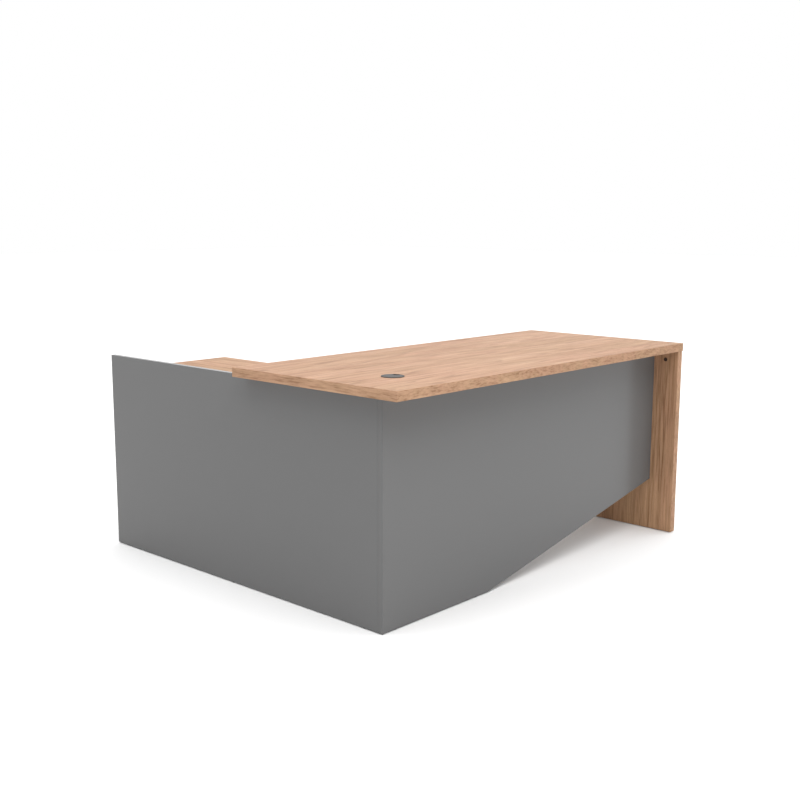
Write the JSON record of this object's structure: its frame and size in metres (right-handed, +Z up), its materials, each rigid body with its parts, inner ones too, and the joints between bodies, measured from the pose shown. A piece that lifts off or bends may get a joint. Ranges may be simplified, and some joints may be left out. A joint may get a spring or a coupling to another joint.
{
  "type": "l-shaped desk",
  "caption": "L-shaped office desk: oak-faced top with a cable outlet on a slab leg and a grey modesty panel, carried by a lower storage return with a niche, a cupboard and drawers.",
  "frame": {"origin": "on the floor, under the middle of the desk's bounding box", "axes": "+X along the desk top from the return to the slab leg, +Y from the visitor's side to the far end of the return, +Z up"},
  "size_m": [1.6, 1.45, 0.7375],
  "materials": {
    "oak": "oak-decor laminate on board, satin",
    "grey_board": "mid-grey melamine on chipboard, matt",
    "drawer_board": "light grey foil on board, matt",
    "drawer_bottom": "lacquered hardboard",
    "zinc_steel": "zinc-plated pressed steel",
    "screw_steel": "zinc-plated",
    "satin_metal": "satin nickel look",
    "cam_zinc": "dark zinc die casting",
    "beech": "bare beech",
    "grey_plastic": "fine moulded texture",
    "black_plastic": "smooth",
    "nylon": "natural nylon"
  },
  "bodies": {
    "desk": {"main_top": "oak", "right_leg": "oak", "return_top": "oak", "modesty_panel": "grey_board", "left_panel": "grey_board", "cabinet_floor": "grey_board", "cabinet_end_front": "grey_board", "cabinet_end_rear": "grey_board", "partition_front": "grey_board", "partition_rear": "grey_board", "plinth": "grey_board", "niche_shelf": "grey_board", "cupboard_shelf": "grey_board", "cabinet_rails_1": "zinc_steel", "cabinet_rails_2": "zinc_steel", "cabinet_rails_3": "zinc_steel", "hinge_plate_upper": "zinc_steel", "hinge_plate_lower": "zinc_steel", "cabinet_screws": "screw_steel", "cam_bolts": "screw_steel", "shelf_pins": "screw_steel", "cam_housings": "cam_zinc", "dowels": "beech", "grommet_liner": "grey_plastic", "floor_glides": "black_plastic"},
    "door": {"door_panel": "grey_board", "door_handle": "satin_metal", "door_bushes": "nylon", "door_screws": "screw_steel"},
    "grommet_cap": {"grommet_cap": "grey_plastic"},
    "drawer_1": {"drawer_1_front": "grey_board", "drawer_1_side_left": "drawer_board", "drawer_1_side_right": "drawer_board", "drawer_1_back": "drawer_board", "drawer_1_bottom": "drawer_bottom", "drawer_1_handle": "satin_metal", "drawer_1_screws": "screw_steel", "drawer_1_dowels": "beech", "drawer_1_rails": "zinc_steel"},
    "middle_rails_1": {"middle_rails_1": "zinc_steel"},
    "drawer_2": {"drawer_2_front": "grey_board", "drawer_2_side_left": "drawer_board", "drawer_2_side_right": "drawer_board", "drawer_2_back": "drawer_board", "drawer_2_bottom": "drawer_bottom", "drawer_2_handle": "satin_metal", "drawer_2_screws": "screw_steel", "drawer_2_dowels": "beech", "drawer_2_rails": "zinc_steel"},
    "middle_rails_2": {"middle_rails_2": "zinc_steel"},
    "drawer_3": {"drawer_3_front": "grey_board", "drawer_3_side_left": "drawer_board", "drawer_3_side_right": "drawer_board", "drawer_3_back": "drawer_board", "drawer_3_bottom": "drawer_bottom", "drawer_3_handle": "satin_metal", "drawer_3_screws": "screw_steel", "drawer_3_dowels": "beech", "drawer_3_rails": "zinc_steel"},
    "middle_rails_3": {"middle_rails_3": "zinc_steel"}
  },
  "joints": [
    {"name": "door_swing", "type": "hinge", "parent": "desk", "child": "door", "pos_m": [-0.241, -0.1515, 0.34], "axis": [0, 0, -1], "range_deg": [0, 110]},
    {"name": "cap_turn", "type": "hinge", "parent": "desk", "child": "grommet_cap", "pos_m": [-0.6, -0.525, 0.7375], "axis": [0, 0, 1], "continuous": true},
    {"name": "drawer_1_slide", "type": "slide", "parent": "desk", "child": "drawer_1", "axis": [1, 0, 0], "range_m": [0, 0.42]},
    {"name": "middle_rails_1_slide", "type": "slide", "parent": "desk", "child": "middle_rails_1", "axis": [1, 0, 0], "range_m": [0, 0.21]},
    {"name": "drawer_2_slide", "type": "slide", "parent": "desk", "child": "drawer_2", "axis": [1, 0, 0], "range_m": [0, 0.42]},
    {"name": "middle_rails_2_slide", "type": "slide", "parent": "desk", "child": "middle_rails_2", "axis": [1, 0, 0], "range_m": [0, 0.21]},
    {"name": "drawer_3_slide", "type": "slide", "parent": "desk", "child": "drawer_3", "axis": [1, 0, 0], "range_m": [0, 0.42]},
    {"name": "middle_rails_3_slide", "type": "slide", "parent": "desk", "child": "middle_rails_3", "axis": [1, 0, 0], "range_m": [0, 0.21]}
  ],
  "couplings": [
    {"joint": "middle_rails_1_slide", "follows": "drawer_1_slide", "ratio": 0.5},
    {"joint": "middle_rails_2_slide", "follows": "drawer_2_slide", "ratio": 0.5},
    {"joint": "middle_rails_3_slide", "follows": "drawer_3_slide", "ratio": 0.5}
  ]
}
